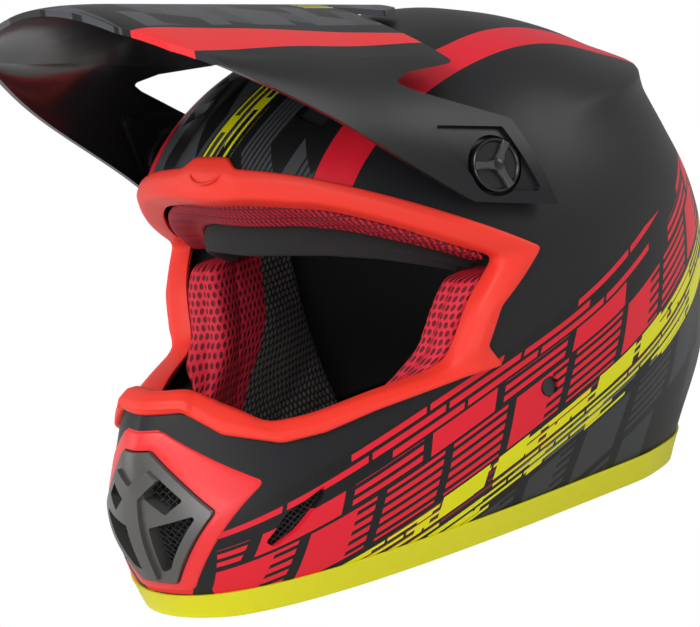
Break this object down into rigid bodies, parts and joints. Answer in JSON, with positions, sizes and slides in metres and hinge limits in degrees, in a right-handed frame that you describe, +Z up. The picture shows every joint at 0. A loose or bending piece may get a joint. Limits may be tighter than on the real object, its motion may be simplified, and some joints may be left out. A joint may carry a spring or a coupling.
{
  "type": "motocross helmet",
  "caption": "Full-face off-road helmet with an open eyeport, a vented pointed chin bar, a tilting peak on side screws, foam and fabric lining and a buckled chin strap.",
  "frame": {"origin": "centre of the neck opening, on the plane the helmet stands on", "axes": "-Y the way the face looks, +X the wearer's left, +Z up to the crown"},
  "size_m": [0.2548, 0.3701, 0.2933],
  "materials": {
    "shell_black": "matt lacquer with a printed block pattern",
    "trim_red": "satin rubber",
    "rim_yellow": "satin rubber",
    "foam_dark": "moulded bead foam",
    "vent_graphite": "satin graphite",
    "mesh_black": "woven mesh",
    "fabric_black": "brushed lining",
    "fabric_red": "perforated mesh fabric",
    "peak_black": "matt with a printed block pattern",
    "knob_black": "glossy",
    "steel": "satin"
  },
  "bodies": {
    "helmet": {"outer_shell": "shell_black", "neck_rim_trim": "rim_yellow", "eyeport_trim": "trim_red", "impact_liner": "foam_dark", "chin_bar_liner": "foam_dark", "mouth_vent_frame": "vent_graphite", "mouth_vent_mesh": "mesh_black", "mouth_vent_filter": "fabric_black", "chin_mesh_left": "mesh_black", "chin_mesh_right": "mesh_black", "crown_liner": "fabric_black", "brow_lining": "fabric_red", "brow_pad": "fabric_black", "cheek_pad_left": "fabric_red", "cheek_pad_right": "fabric_red", "neck_roll": "fabric_black", "peak_spacer_left": "mesh_black", "peak_spacer_right": "mesh_black", "screw_insert_left": "steel", "screw_insert_right": "steel", "strap_left": "fabric_black", "strap_right": "fabric_black", "strap_snap": "knob_black", "strap_rivet_left": "mesh_black", "strap_rivet_right": "mesh_black"},
    "peak": {"peak": "peak_black"},
    "knob_left": {"side_knob_left": "knob_black"},
    "knob_right": {"side_knob_right": "knob_black"},
    "ring_upper": {"strap_ring_upper": "steel"},
    "ring_lower": {"strap_ring_lower": "steel"}
  },
  "joints": [
    {"name": "peak_tilt", "type": "hinge", "parent": "helmet", "child": "peak", "pos_m": [0, -0.049, 0.185], "axis": [1, 0, 0], "range_deg": [-1, 6]},
    {"name": "knob_left_turn", "type": "hinge", "parent": "helmet", "child": "knob_left", "pos_m": [0.1163, -0.049, 0.185], "axis": [0.9527, -0.2163, 0.2134], "continuous": true},
    {"name": "knob_right_turn", "type": "hinge", "parent": "helmet", "child": "knob_right", "pos_m": [-0.1163, -0.049, 0.185], "axis": [-0.9527, -0.2163, 0.2134], "continuous": true},
    {"name": "ring_upper_swing", "type": "hinge", "parent": "helmet", "child": "ring_upper", "pos_m": [0.034, -0.034, 0.0203], "axis": [0, 1, 0], "range_deg": [0, 60]},
    {"name": "ring_lower_swing", "type": "hinge", "parent": "helmet", "child": "ring_lower", "pos_m": [0.034, -0.034, 0.0171], "axis": [0, 1, 0], "range_deg": [-15, 0]}
  ]
}
